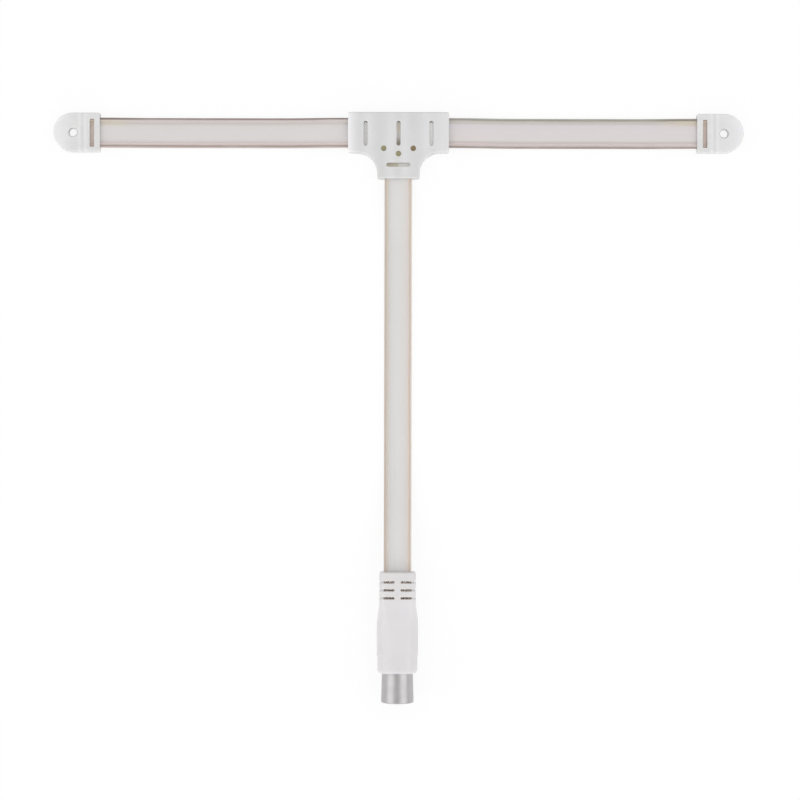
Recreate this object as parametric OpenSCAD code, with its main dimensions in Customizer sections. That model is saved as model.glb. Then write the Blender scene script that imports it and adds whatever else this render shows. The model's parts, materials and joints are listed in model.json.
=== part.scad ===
// Indoor T antenna for FM radio: a folded dipole of flat twin cable with a moulded T junction,
// two hanging caps and a twin-cable lead that ends in a moulded coaxial coupling.
// It lies flat: +X along the right arm, +Y away from the lead, +Z up from the surface.
// The origin is under the crossing of the cables, on the underside of the T junction.

/* [Flat twin cable] */
// Width of the cable that forms the two arms
arm_ribbon_w = 10; // [9:0.1:11]
// Width of the cable that forms the lead
lead_ribbon_w = 9.2; // [8.6:0.1:9.8]
// Thickness of the round edge around each wire
bead_d = 1.4; // [1.1:0.05:1.7]
// Thickness of each stranded wire
wire_d = 0.6; // [0.4:0.05:0.7]
// Free length of each arm, from the T junction to its cap
arm_run = 82.5; // [60:0.5:750]
// Free length of the lead, from the T junction to the coupling
lead_run = 130.3; // [90:0.1:2000]

/* [T junction] */
// Length of the cross bar
tee_w = 33.5; // [31:0.5:44]
// Height of the cross bar
tee_bar_h = 13.4; // [12.6:0.1:16]
// Width of the stem
tee_stem_w = 14.1; // [13:0.1:16]
// Distance from the arm cable's middle to the end of the stem
tee_stem_l = 15.3; // [14.5:0.1:22]
// Thickness of the moulding
tee_t = 4.6; // [4.2:0.1:7]
// Radius of the hollow corners beside the stem
tee_fillet_r = 6.8; // [2:0.1:7.8]
// Radius of the outer corners, seen from above
tee_corner_r = 0.5; // [0.5:0.1:3]
// Rounding of the upper and lower edges
tee_edge_r = 0.4; // [0.3:0.05:0.45]
// Length of each of the three slots over the arm cable
bar_slot_l = 8.3; // [5:0.1:9.2]
// Distance between those slots
bar_slot_pitch = 10.9; // [8.5:0.1:13]
// Distance of those slots' middle below the arm cable's middle
bar_slot_drop = 0.35; // [0:0.05:0.6]
// Length of the slot over the lead
stem_slot_l = 8.1; // [5:0.1:8.6]
// Distance from the arm cable's middle to that slot
stem_slot_y = 10.8; // [9.6:0.1:12.5]
// Diameter of the three round pin marks
pin_mark_d = 1.9; // [1.2:0.1:2]
// Distance of the outer pin marks from the middle
pin_mark_x = 4.9; // [4.4:0.1:5.2]
// Distance of the outer pin marks below the arm cable's middle
pin_mark_y = 5.35; // [5.2:0.05:5.8]
// Distance of the middle pin mark below the arm cable's middle
middle_mark_y = 7.1; // [7:0.1:8.2]

/* [Hanging caps] */
// Length of a cap
cap_l = 15.5; // [15:0.1:22]
// Height of a cap, which is also the width of its round end
cap_h = 13; // [12.4:0.1:16]
// Thickness of a cap
cap_t = 3.2; // [2.9:0.1:4.6]
// Diameter of the hanging hole
hang_hole_d = 2.6; // [1.6:0.1:4]
// Length of the slot over the cable
cap_slot_l = 9.3; // [5:0.1:9.4]
// Distance from the cap's open end to the middle of that slot
cap_slot_x = 2.6; // [1.8:0.1:3.2]
// Distance of that slot's middle below the cable's middle
cap_slot_drop = 0.2; // [0:0.05:0.3]
// Distance from the cap's open end to the wire link inside
link_x = 5.7; // [5.5:0.1:6.2]
// Rounding of the upper and lower edges
cap_edge_r = 0.4; // [0.3:0.05:0.55]

/* [Slots] */
// Width of the slots in the T junction
slot_w = 1.35; // [0.8:0.05:1.6]
// Width of the slots in the caps
cap_slot_w = 1.5; // [0.8:0.1:1.8]
// Radius of the corners of the slots in the caps
cap_slot_r = 0.35; // [0.2:0.05:0.35]

/* [Coupling body] */
// Width of the strain relief
relief_w = 12.05; // [11.6:0.05:12.8]
// Thickness of the strain relief where the lead enters
relief_t = 7.6; // [6.8:0.1:8.6]
// Length of the strain relief
relief_l = 9.5; // [9.3:0.1:16]
// Width of the grip
grip_w = 13.6; // [13.4:0.05:15]
// Thickness of the grip and the nose
grip_t = 11.6; // [11.4:0.1:13]
// Length of the flare from the strain relief to the grip
flare_l = 7.9; // [6.5:0.1:9]
// Length of the grip
grip_l = 10.3; // [9.5:0.1:18]
// Width of the nose
nose_w = 13.2; // [12.8:0.05:13.35]
// Length of the nose
nose_l = 5.6; // [4.8:0.1:9]
// Rounding of the nose's end
nose_r = 1.1; // [0.4:0.1:1.4]
// Number of rows of slots in the strain relief
relief_rows = 3; // [1:1:3]
// Distance between the rows
relief_pitch = 2.6; // [1.8:0.1:3]
// Distance from the lead's entry to the first row
relief_first = 3.2; // [2:0.1:3.8]
// Width of one row
relief_slot_w = 0.76; // [0.5:0.02:1]
// Length of one slot
relief_slot_l = 3.65; // [2.5:0.05:3.75]
// Width of the rib between the two slots of a row
relief_rib_w = 1.95; // [1:0.05:2.4]
// Depth of the groove that carries each row on to the sides
relief_groove = 0.4; // [0.2:0.05:0.6]

/* [Coaxial contacts] */
// Outer diameter of the sleeve
sleeve_d = 10.25; // [10.2:0.05:10.4]
// Outer diameter of the sleeve at its mouth
sleeve_mouth_d = 10.75; // [10.45:0.05:11]
// Wall of the sleeve
sleeve_wall = 0.3; // [0.2:0.02:0.34]
// Length of the sleeve outside the body
sleeve_out = 9.9; // [8.5:0.1:12]
// Length of the sleeve inside the body
sleeve_in = 6.5; // [5.5:0.1:7]
// Outer diameter of the middle contact
contact_d = 3.6; // [3.2:0.1:4.4]
// Bore of the middle contact
contact_bore_d = 2.4; // [2.2:0.05:2.6]
// Depth of that bore
contact_bore_l = 8; // [6:0.1:8.5]
// Distance of the middle contact behind the sleeve's mouth
contact_recess = 0.8; // [0.2:0.1:2]
// Width of the two slits in the middle contact
contact_slit_w = 0.35; // [0.2:0.05:0.5]
// Length of those slits
contact_slit_l = 5; // [3:0.1:5.8]
// Diameter of the middle contact's tail
tail_d = 1.6; // [1:0.1:2]
// Thickness of the insulator's disc
disc_l = 4; // [3:0.1:4.5]
// Diameter of the insulator's collar
collar_d = 6; // [5.2:0.1:6.8]
// Length of the insulator's collar
collar_l = 2.5; // [1.5:0.1:3]

/* [Matching transformer] */
// Width of the two-hole core
core_w = 8; // [7.4:0.1:8.6]
// Height of the core
core_h = 4.6; // [3.6:0.1:5.4]
// Length of the core
core_l = 5.5; // [4.5:0.1:6]
// Distance between the two holes
core_pitch = 3.8; // [3.4:0.1:4]
// Diameter of each hole
core_hole_d = 1.8; // [1.6:0.1:2]
// Thickness of the enamelled wire
coil_wire_d = 0.34; // [0.2:0.02:0.36]

/* [Hidden] */
$fn = 64;

// Clearance of the cable and the metal in the mouldings
fit = 0.08;
// Gap between parts that touch on the real product
touch = 0.02;
// Overrun of a cut past a surface
over = 1;

// Heights of the cable's middle: in the T junction, in the caps, on the surface and in the coupling
tee_z = tee_t / 2;
cap_z = cap_t / 2;
lying_z = bead_d / 2 + touch;
plug_z = grip_t / 2;

// Wires: distance of each wire from the middle of its cable
arm_wire_y = (arm_ribbon_w - bead_d) / 2;
lead_wire_x = (lead_ribbon_w - bead_d) / 2;
lead_wire_end_y = -arm_wire_y - wire_d / 2 - 3 * touch;

// T junction: bared parts of the cables and the soldered joints
bared_x = 6;
lower_gap_x = 2.6;
joint_d = 2;
joint_h = 1.7;
joint_x = lead_wire_x + 0.4;
joint_y = -arm_wire_y - 0.7;
lead_start_y = joint_y - joint_d / 2 - 0.4;

// Caps: places measured outward from the open end
cap_x = tee_w / 2 + arm_run;
cap_hole_x = cap_l - cap_h / 2;
link_d = wire_d + 0.16;
tail_end_x = link_x - link_d / 2 - touch;
cable_end_x = tail_end_x - 0.3;
sink_depth = 0.1;

// Coupling: places measured from the lead's entry towards the mouth
plug_y = -tee_stem_l - lead_run;
flare_s = relief_l;
grip_s = flare_s + flare_l;
nose_s = grip_s + grip_l;
body_l = nose_s + nose_l;
sleeve_s = body_l - sleeve_in;
mouth_s = body_l + sleeve_out;
disc_s = sleeve_s + 1.2;
collar_s = disc_s + disc_l;
contact_s = collar_s + touch;
contact_end_s = mouth_s - contact_recess;
tail_s = sleeve_s - 1;
lug_s = sleeve_s - 2.3;
lead_end_s = relief_l + 1.1;
bared_end_s = lead_end_s + 1.9;
plug_joint_l = 1.2;
plug_joint_d = 1.3;
core_s = bared_end_s + 3.6;
core_clear = 0.9;
cavity_s = lead_end_s + 0.5;
cavity_w = core_w + 2.2;
cavity_h = core_h + 1;
relief_t_end = relief_t + 1.2;
relief_round = 2.2;
grip_round = 4.2;

// Drop of a cable from a moulding to the surface: distance from the moulding, share of height left
DROP = [[4, 0.96], [8, 0.8], [12, 0.5], [16, 0.2], [20, 0.04], [24, 0]];
// Rise of an arm to its cap and of the lead to the coupling: distance left, share of height reached
CAP_RISE = [[20, 0], [16, 0.06], [12, 0.28], [8, 0.62], [4, 0.92]];
PLUG_RISE = [[44, 0], [38, 0.03], [32, 0.12], [26, 0.29], [20, 0.5], [14, 0.71], [8, 0.88], [3, 0.98]];
// Greatest distance between two stations on the surface
STATION = 25;

// Points on an arc from angle a to angle b
function arc(c, r, a, b, n) =
    [for (i = [0:n]) let (t = a + (b - a) * i / n) c + r * [cos(t), sin(t)]];
function unit(v) = v / norm(v);
function backwards(list) = [for (i = [len(list) - 1:-1:0]) list[i]];
function mix(a, b, t) = a + (b - a) * t;
function ease(t) = t * t * (3 - 2 * t);

// Stations of a cable that leaves one height, lies on the surface and reaches another:
// pairs of distance and height
function free_run(run, from_z, to_z, rise) =
    let (first = DROP[len(DROP) - 1][0], last = run - rise[0][0], gaps = ceil((last - first) / STATION))
    concat([[0, from_z]],
        [for (p = DROP) [p[0], mix(lying_z, from_z, p[1])]],
        [for (i = [1:1:gaps - 1]) [mix(first, last, i / gaps), lying_z]],
        [for (p = rise) [run - p[0], mix(lying_z, to_z, p[1])]],
        [[run, to_z]]);

// Route of the right arm from the T junction to a distance inside its cap, and of the whole dipole
function right_arm(inside) =
    concat([for (p = free_run(arm_run, tee_z, cap_z, CAP_RISE)) [tee_w / 2 + p[0], 0, p[1]]],
        [[cap_x + inside, 0, cap_z]]);
function to_left(route) = [for (p = backwards(route)) [-p[0], p[1], p[2]]];
// Route of the lead from a height in the T junction to a distance inside the coupling
function lead_route(start_y, inside) =
    concat([[0, start_y, tee_z]],
        [for (p = free_run(lead_run, tee_z, plug_z, PLUG_RISE)) [0, -tee_stem_l - p[0], p[1]]],
        [[0, plug_y - inside, plug_z]]);

// Octagon around one wire, and the outline of the flat cable: two octagons and the web between them
function bead(c, r) = [for (k = [0:7]) [c, 0] + r / cos(22.5) * [cos(22.5 + 45 * k), sin(22.5 + 45 * k)]];
function cable_outline(w, grow) =
    let (c = (w - bead_d) / 2, r = bead_d / 2 + grow, a = bead(-c, r), b = bead(c, r))
    concat(a, [for (k = [4:11]) b[k % 8]]);

// Section points carried to station i of a route, square to it and level from side to side
function ring(route, i, section) =
    let (a = route[max(i - 1, 0)], b = route[min(i + 1, len(route) - 1)],
        along = unit(b - a), side = unit(cross([0, 0, 1], along)), up = cross(along, side))
    [for (p = section) route[i] + p[0] * side + p[1] * up];

// Wall between two neighbouring rings, as triangles: p and q are neighbours on the outline
function wall(m, rings, p, q) =
    [for (i = [0:rings - 2], half = [0, 1]) let (a = i * m, b = a + m)
        half == 0 ? [a + p, b + p, b + q] : [a + p, b + q, a + q]];

// Solid through a list of rings, closed at both ends
module loft(rings) {
    m = len(rings[0]);
    n = len(rings);
    walls = [for (k = [0:m - 1]) each wall(m, n, k, (k + 1) % m)];
    ends = [[for (k = [0:m - 1]) k], [for (k = [m - 1:-1:0]) (n - 1) * m + k]];
    polyhedron([for (r = rings) each r], concat(walls, ends), convexity = 6);
}

// Round wire along a route, at an offset to its side
module wire(route, offset_x, d) {
    loft([for (i = [0:len(route) - 1]) ring(route, i, bead(offset_x, d / 2))]);
}

// Flat cable along a route, with a bore around each wire
module cable(route, w) {
    c = (w - bead_d) / 2;
    bore_r = wire_d / 2 + touch;
    section = concat(bead(-c, bead_d / 2), bead(c, bead_d / 2), bead(-c, bore_r), bead(c, bore_r));
    m = len(section);
    n = len(route);
    last = (n - 1) * m;
    outline = concat([for (k = [0:7]) k], [for (k = [4:11]) 8 + k % 8]);
    skin = [for (k = [0:15]) each wall(m, n, outline[k], outline[(k + 1) % 16])];
    bores = [for (b = [16, 24], k = [0:7]) each wall(m, n, b + (k + 1) % 8, b + k)];
    rims = [for (b = [0, 8], k = [0:7]) [b + k, b + (k + 1) % 8, b + 16 + (k + 1) % 8, b + 16 + k]];
    web = [7, 12, 11, 0];
    ends = concat(rims, [web], [for (f = concat(rims, [web])) [for (p = backwards(f)) last + p]]);
    polyhedron([for (i = [0:n - 1]) each ring(route, i, section)], concat(skin, bores, ends),
        convexity = 8);
}

// Straight channel for a flat cable, along +X or along -Y
module channel_x(w, l) {
    rotate([90, 0, 90])
        linear_extrude(l)
            polygon(cable_outline(w, fit));
}
module channel_y(w, l) {
    rotate([90, 0, 0])
        linear_extrude(l)
            polygon(cable_outline(w, fit));
}

// Flat moulding with rounded upper and lower edges: outline(d) is its outline drawn in by d.
// The rounding runs on a little past both faces, where a slab cuts it, so each face is one plane.
module moulding(outline, t, r) {
    steps = 5;
    past = 0.25;
    rise = [for (i = [0:steps]) let (a = 90 * i / steps) [r * (1 - sin(a)), r * (1 - cos(a))]];
    low = concat([rise[0] + past * (rise[0] - rise[1])], [for (i = [1:steps]) rise[i]]);
    levels = concat(low, [for (l = backwards(low)) [l[0], t - l[1]]]);
    intersection() {
        loft([for (l = levels) [for (p = outline(l[0])) [p[0], p[1], l[1]]]]);
        translate([0, 0, t / 2])
            cube([4 * tee_w, 4 * tee_w, t], center = true);
    }
}

// Straight channel around a bared wire, along +Z
module wire_channel(l, grow) {
    linear_extrude(l)
        polygon(bead(0, wire_d / 2 + grow));
}

// Slot with round ends through a moulding, along X
module slot(l, w, t) {
    c = (l - w) / 2;
    translate([0, 0, -over])
        linear_extrude(t + 2 * over)
            polygon(concat(arc([c, 0], w / 2, -90, 90, 8), arc([-c, 0], w / 2, 90, 270, 8)));
}

// Slot with small round corners through a moulding, along X
module square_slot(l, w, r, t) {
    x = l / 2 - r;
    y = w / 2 - r;
    translate([0, 0, -over])
        linear_extrude(t + 2 * over)
            polygon(concat(arc([x, y], r, 0, 90, 4), arc([-x, y], r, 90, 180, 4),
                arc([-x, -y], r, 180, 270, 4), arc([x, -y], r, 270, 360, 4)));
}

// Round mark of a mould pin, through the T junction
module pin_mark() {
    translate([0, 0, -over])
        linear_extrude(tee_t + 2 * over)
            polygon(arc([0, 0], pin_mark_d / 2, 0, 345, 23));
}

// T junction, seen from above
function tee_outline(d) =
    let (x = tee_w / 2 - d, y = tee_bar_h / 2 - d, s = tee_stem_w / 2 - d, b = tee_stem_l - d,
        r = tee_corner_r - d, fx = tee_stem_w / 2 + tee_fillet_r, fy = tee_bar_h / 2 + tee_fillet_r,
        fr = tee_fillet_r + d)
    concat(arc([x - r, y - r], r, 0, 90, 4),
        arc([-x + r, y - r], r, 90, 180, 4),
        arc([-x + r, -y + r], r, 180, 270, 4),
        arc([-fx, -fy], fr, 90, 0, 8),
        arc([-s + r, -b + r], r, 180, 270, 4),
        arc([s - r, -b + r], r, 270, 360, 4),
        arc([fx, -fy], fr, 180, 90, 8),
        arc([x - r, -y + r], r, 270, 360, 4));

module t_housing() color("whitesmoke") {
    difference() {
        moulding(function (d) tee_outline(d), tee_t, tee_edge_r);
        translate([-tee_w / 2 - over, 0, tee_z])
            channel_x(arm_ribbon_w, tee_w + 2 * over);
        translate([0, lead_start_y + fit, tee_z])
            channel_y(lead_ribbon_w, tee_stem_l + over);
        for (i = [-1:1])
            translate([i * bar_slot_pitch, -bar_slot_drop])
                rotate(90)
                    slot(bar_slot_l, slot_w, tee_t);
        translate([0, -stem_slot_y])
            slot(stem_slot_l, slot_w, tee_t);
        for (side = [-1, 1]) {
            translate([side * joint_x, joint_y, tee_z - joint_h / 2 - fit])
                cylinder(d = joint_d + 2 * fit, h = joint_h + 2 * fit);
            translate([side * lead_wire_x, joint_y, tee_z])
                rotate([90, 0, 0])
                    wire_channel(joint_y - lead_start_y + over, fit);
            translate([side * pin_mark_x, -pin_mark_y])
                pin_mark();
        }
        translate([0, -middle_mark_y])
            pin_mark();
    }
}

// Arm cable from cap to cap, with its lower edge cut away where the lead is soldered on
module dipole_ribbon() color("gainsboro") {
    half = right_arm(cable_end_x);
    difference() {
        cable(concat(to_left(half), half), arm_ribbon_w);
        translate([-bared_x, -arm_ribbon_w / 2 - over, tee_z - bead_d])
            cube([2 * bared_x, bead_d + 0.1 + over, 2 * bead_d]);
    }
}

module upper_wire() color("peru") {
    half = right_arm(tail_end_x);
    wire(concat(to_left(half), half), arm_wire_y, wire_d);
}

// Half of the lower wire: it ends beside the gap in the middle of the T junction
module lower_wire(side) color("peru") {
    half = right_arm(tail_end_x);
    mirror([side < 0 ? 1 : 0, 0, 0])
        wire(concat([[lower_gap_x, 0, tee_z]], half), -arm_wire_y, wire_d);
}

// Bead of solder over the end of a lead wire and the lower wire
module feed_joint(side) color("silver") {
    r = joint_d / 2;
    h = joint_h / 2;
    soft = 0.3;
    difference() {
        translate([side * joint_x, joint_y, tee_z])
            rotate_extrude()
                polygon([[0, -h], [r - soft, -h], [r, soft - h], [r, h - soft], [r - soft, h], [0, h]]);
        translate([side * joint_x - joint_d, -arm_wire_y, tee_z])
            rotate([0, 90, 0])
                wire_channel(2 * joint_d, touch);
        translate([side * lead_wire_x, -arm_wire_y, tee_z])
            rotate([90, 0, 0])
                wire_channel(2 * joint_d, touch);
    }
}

// Cap outline with its round end around the hanging hole, measured outward from the open end
function cap_outline(d) =
    let (r = cap_h / 2 - d, c = 0.4)
    concat(arc([cap_hole_x, 0], r, -90, 90, 20),
        arc([d + c, r - c], c, 90, 180, 3),
        arc([d + c, -r + c], c, 180, 270, 3));

// Right cap at its place; the left one is its mirror image
module cap_body() {
    translate([cap_x, 0])
        difference() {
            moulding(function (d) cap_outline(d), cap_t, cap_edge_r);
            translate([-over, 0, cap_z])
                channel_x(arm_ribbon_w, cable_end_x + fit + over);
            for (side = [-1, 1])
                translate([0, side * arm_wire_y, cap_z])
                    rotate([0, 90, 0])
                        wire_channel(link_x, fit);
            translate([link_x, 0, cap_z])
                rotate([90, 0, 0])
                    cylinder(d = link_d + 2 * fit, h = arm_ribbon_w, center = true);
            translate([cap_slot_x, -cap_slot_drop])
                rotate(90)
                    square_slot(cap_slot_l, cap_slot_w, cap_slot_r, cap_t);
            translate([cap_hole_x, 0, -over])
                cylinder(d = hang_hole_d, h = cap_t + 2 * over);
            // Shallow sink line in the face over the link
            translate([link_x, 0, cap_t - sink_depth + over])
                cube([link_d, 2 * arm_wire_y - link_d, 2 * over], center = true);
        }
}

module end_cap(side) color("whitesmoke") {
    mirror([side < 0 ? 1 : 0, 0, 0])
        cap_body();
}

// Tinned link that joins the ends of the upper and lower wires inside a cap
module end_link(side) color("silver") {
    translate([side * (cap_x + link_x), 0, cap_z]) {
        rotate([90, 0, 0])
            cylinder(d = link_d, h = 2 * arm_wire_y, center = true);
        for (end = [-1, 1])
            translate([0, end * arm_wire_y])
                sphere(d = link_d);
    }
}

module lead_ribbon() color("gainsboro") {
    cable(lead_route(lead_start_y, lead_end_s), lead_ribbon_w);
}

module lead_wire(side) color("peru") {
    wire(lead_route(lead_wire_end_y, bared_end_s), side * lead_wire_x, wire_d);
}

// Places a shape that is drawn along +Z from the lead's entry to the mouth, with its width on X
module in_plug(s) {
    translate([0, plug_y - s, plug_z])
        rotate([90, 0, 0])
            children();
}

// Rounded rectangle across the coupling body, drawn in by d
function body_section(w, t, r, d) =
    let (x = w / 2 - d, y = t / 2 - d, c = min(r - d, x - 0.05, y - 0.05))
    concat(arc([x - c, y - c], c, 0, 90, 6),
        arc([-x + c, y - c], c, 90, 180, 6),
        arc([-x + c, -y + c], c, 180, 270, 6),
        arc([x - c, -y + c], c, 270, 360, 6));

// Outer form of the coupling body: stations of distance, width, thickness, corner and draw-in
function body_stations() =
    let (entry_r = 0.6, step = 0.3)
    concat([for (i = [0:2]) let (a = 45 * i)
            [entry_r * (1 - cos(a)), relief_w, relief_t, relief_round, entry_r * (1 - sin(a))]],
        [[flare_s, relief_w, relief_t_end, relief_round, 0]],
        [for (i = [1:5]) let (t = ease(i / 5))
            [mix(flare_s, grip_s, i / 5), mix(relief_w, grip_w, t), mix(relief_t_end, grip_t, t),
                mix(relief_round, grip_round, t), 0]],
        [[nose_s - step, grip_w, grip_t, grip_round, 0],
            [nose_s, nose_w, grip_t, grip_round, 0]],
        [for (i = [0:3]) let (a = 30 * i)
            [body_l - nose_r * (1 - sin(a)), nose_w, grip_t, grip_round, nose_r * (1 - cos(a))]]);

// Thickness of the strain relief at a distance from the lead's entry
function relief_t_at(s) = mix(relief_t, relief_t_end, s / relief_l);

// One row of the strain relief: two slots down to the lead and a groove from them round the sides
module relief_row(s) {
    in_plug(s) {
        for (side = [-1, 1])
            translate([side * (relief_rib_w + relief_slot_l) / 2, 0, 0])
                cube([relief_slot_l, 2 * grip_t, relief_slot_w], center = true);
        difference() {
            cube([2 * grip_w, 2 * grip_t, relief_slot_w], center = true);
            linear_extrude(2 * relief_slot_w, center = true)
                polygon(body_section(relief_w, relief_t_at(s), relief_round, relief_groove));
            cube([relief_rib_w, 3 * grip_t, 2 * relief_slot_w], center = true);
        }
    }
}

module plug_housing() color("whitesmoke") {
    difference() {
        loft([for (p = body_stations())
            [for (q = body_section(p[1], p[2], p[3], p[4])) [q[0], plug_y - p[0], plug_z + q[1]]]]);
        translate([0, plug_y + over, plug_z])
            channel_y(lead_ribbon_w, lead_end_s + fit + over);
        in_plug(lead_end_s)
            for (side = [-1, 1])
                translate([side * lead_wire_x, 0, 0])
                    wire_channel(cavity_s - lead_end_s + over, fit);
        for (i = [0:relief_rows - 1])
            relief_row(relief_first + i * relief_pitch);
        in_plug((cavity_s + sleeve_s) / 2)
            cube([cavity_w, cavity_h, sleeve_s - cavity_s + 2 * touch], center = true);
        in_plug(lug_s - 0.4)
            cylinder(d = sleeve_d + 2 * touch, h = body_l - lug_s + 0.4 + over);
    }
}

// Solder on the end of a lead wire, which also holds the start of the primary winding
module plug_joint(side) color("silver") {
    in_plug(bared_end_s + touch)
        translate([side * lead_wire_x, 0, 0])
            cylinder(d = plug_joint_d, h = plug_joint_l);
}

module balun_core() color("dimgray") {
    in_plug(core_s)
        linear_extrude(core_l)
            difference() {
                union() {
                    square([core_w - core_h, core_h], center = true);
                    for (side = [-1, 1])
                        translate([side * (core_w - core_h) / 2, 0])
                            circle(d = core_h);
                }
                for (side = [-1, 1])
                    translate([side * core_pitch / 2, 0])
                        circle(d = core_hole_d);
            }
}

// Route with each inner corner cut by a short curve
function softened(path, r) =
    concat([path[0]],
        [for (i = [1:len(path) - 2])
            let (a = path[i] + r * unit(path[i - 1] - path[i]), b = path[i] + r * unit(path[i + 1] - path[i]))
            each [a, (a + b) / 4 + path[i] / 2, b]],
        [path[len(path) - 1]]);

// Enamelled wire along points of width, distance and height in the coupling
module coil(points) {
    wire(softened([for (p = points) [p[0], plug_y - p[1], plug_z + p[2]]], 0.4), 0, coil_wire_d);
}

// Two turns through both holes, between the ends of the lead
module primary_winding() color("sienna") {
    x = core_pitch / 2;
    start = bared_end_s + plug_joint_l + 2 * touch;
    near = core_s - core_clear / 2;
    far = core_s + core_l + core_clear / 2;
    high = core_hole_d / 2 - coil_wire_d;
    low = 0;
    coil([[-lead_wire_x, start, high], [-lead_wire_x, start + 0.9, high], [-x, near - 0.6, high],
        [-x, far, high], [x, far, high], [x, near, high], [-x, near, low], [-x, far + coil_wire_d + 0.1, low],
        [x, far + coil_wire_d + 0.1, low], [x, near - 0.6, low], [lead_wire_x, start + 0.9, low],
        [lead_wire_x, start, low]]);
}

// One turn through both holes, between the middle contact's tail and the sleeve's lug
module secondary_winding() color("darkgoldenrod") {
    x = core_pitch / 2;
    near = core_s - core_clear / 2;
    far = core_s + core_l + core_clear;
    low = -(core_hole_d / 2 - coil_wire_d);
    tail = tail_s - touch;
    inner_r = sleeve_d / 2 - sleeve_wall;
    lug_x = sqrt(inner_r * inner_r - core_hole_d * core_hole_d / 4) - coil_wire_d / 2 - 2 * touch;
    coil([[0, tail, low], [0, tail - 0.5, low], [-x, far, low], [-x, near, low], [x, near, low],
        [x, far, low], [lug_x, lug_s + 0.2, low], [lug_x, lug_s + 1.4, low]]);
}

module insulator() color("ivory") {
    in_plug(disc_s)
        difference() {
            union() {
                cylinder(d = sleeve_d - 2 * sleeve_wall - 2 * touch, h = disc_l);
                cylinder(d = collar_d, h = disc_l + collar_l);
            }
            translate([0, 0, -over])
                cylinder(d = tail_d + 2 * touch, h = disc_l + 2 * over);
            translate([0, 0, disc_l])
                cylinder(d = contact_d + 2 * touch, h = collar_l + over);
        }
}

module centre_contact() color("goldenrod") {
    tube_l = contact_end_s - contact_s;
    lead_in = 0.3;
    in_plug(contact_s)
        difference() {
            rotate_extrude()
                polygon([[0, 0], [contact_d / 2, 0], [contact_d / 2, tube_l - lead_in],
                    [contact_d / 2 - lead_in, tube_l], [contact_bore_d / 2 + 0.15, tube_l],
                    [contact_bore_d / 2, tube_l - lead_in], [contact_bore_d / 2, tube_l - contact_bore_l],
                    [0, tube_l - contact_bore_l]]);
            translate([0, 0, tube_l - contact_slit_l / 2 + over / 2])
                cube([2 * contact_d, contact_slit_w, contact_slit_l + over], center = true);
        }
    in_plug(tail_s)
        cylinder(d = tail_d, h = contact_s - tail_s);
}

// Drawn metal sleeve: straight in the body, widening to a rounded mouth, with a solder lug behind
module outer_sleeve() color("silver") {
    r = sleeve_d / 2;
    m = sleeve_mouth_d / 2;
    l = mouth_s - sleeve_s;
    t = sleeve_wall;
    in_plug(sleeve_s) {
        rotate_extrude()
            polygon(concat([[r - t, 0], [r, 0], [r, sleeve_in], [m, l - 2 * t]],
                arc([m - t / 2, l - t], t / 2, 0, 180, 4),
                [[m - t, l - 2 * t], [r - t, sleeve_in]]));
        intersection() {
            translate([0, 0, lug_s - sleeve_s])
                difference() {
                    cylinder(r = r, h = sleeve_s - lug_s + touch);
                    translate([0, 0, -over])
                        cylinder(r = r - t, h = sleeve_s - lug_s + 2 * over);
                }
            translate([0, -1.2, lug_s - sleeve_s])
                cube([2 * r, 2.4, 2 * (sleeve_s - lug_s)]);
        }
    }
}

t_housing();
dipole_ribbon();
upper_wire();
lower_wire(-1);  // lower_wire_left
lower_wire(1);  // lower_wire_right
feed_joint(-1);  // feed_joint_left
feed_joint(1);  // feed_joint_right
end_cap(-1);  // end_cap_left
end_cap(1);  // end_cap_right
end_link(-1);  // end_link_left
end_link(1);  // end_link_right
lead_ribbon();
lead_wire(-1);  // lead_wire_left
lead_wire(1);  // lead_wire_right
plug_housing();
plug_joint(-1);  // plug_joint_left
plug_joint(1);  // plug_joint_right
balun_core();
primary_winding();
secondary_winding();
insulator();
centre_contact();
outer_sleeve();
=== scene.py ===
# %% [markdown]
# An FM indoor antenna lies flat on a white table: a folded dipole of flat twin cable, a white moulded
# T junction where the lead is soldered on, a hanging cap on each arm, and a coaxial coupling on the lead.
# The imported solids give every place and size. They are loaded first and stay where they are, and each
# piece made here stands in the space of the solid that it dresses.

# %% Load the solids
import json
import math

import bmesh
import bpy
from mathutils import Matrix, Vector, noise

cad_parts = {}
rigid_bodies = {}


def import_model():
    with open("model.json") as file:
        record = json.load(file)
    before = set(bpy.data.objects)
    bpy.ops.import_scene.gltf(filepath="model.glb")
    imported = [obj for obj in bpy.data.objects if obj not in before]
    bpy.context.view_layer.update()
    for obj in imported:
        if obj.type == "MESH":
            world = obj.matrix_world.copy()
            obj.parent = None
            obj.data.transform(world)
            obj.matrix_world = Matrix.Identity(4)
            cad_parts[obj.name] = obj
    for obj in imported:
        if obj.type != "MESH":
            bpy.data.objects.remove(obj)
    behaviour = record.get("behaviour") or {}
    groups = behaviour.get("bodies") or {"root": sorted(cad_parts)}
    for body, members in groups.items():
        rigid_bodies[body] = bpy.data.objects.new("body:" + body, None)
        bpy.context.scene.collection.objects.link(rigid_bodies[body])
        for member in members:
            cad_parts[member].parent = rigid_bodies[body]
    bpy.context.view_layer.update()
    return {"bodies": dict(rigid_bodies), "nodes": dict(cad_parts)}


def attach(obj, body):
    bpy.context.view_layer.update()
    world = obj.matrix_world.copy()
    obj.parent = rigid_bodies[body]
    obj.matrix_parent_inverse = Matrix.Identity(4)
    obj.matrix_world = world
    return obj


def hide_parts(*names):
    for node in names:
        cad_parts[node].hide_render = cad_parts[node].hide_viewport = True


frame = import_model()
print("solids", len(frame["nodes"]))

# %% [markdown]
# Lengths are written in millimetres, as on a mould drawing, and turned into Blender's metres in one place.

# %% Millimetres to metres
MM = 0.001


def mm(*values):
    """A vector given in millimetres, in metres."""
    return Vector(values) * MM


print("100 mm are", 100 * MM, "m")

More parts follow.
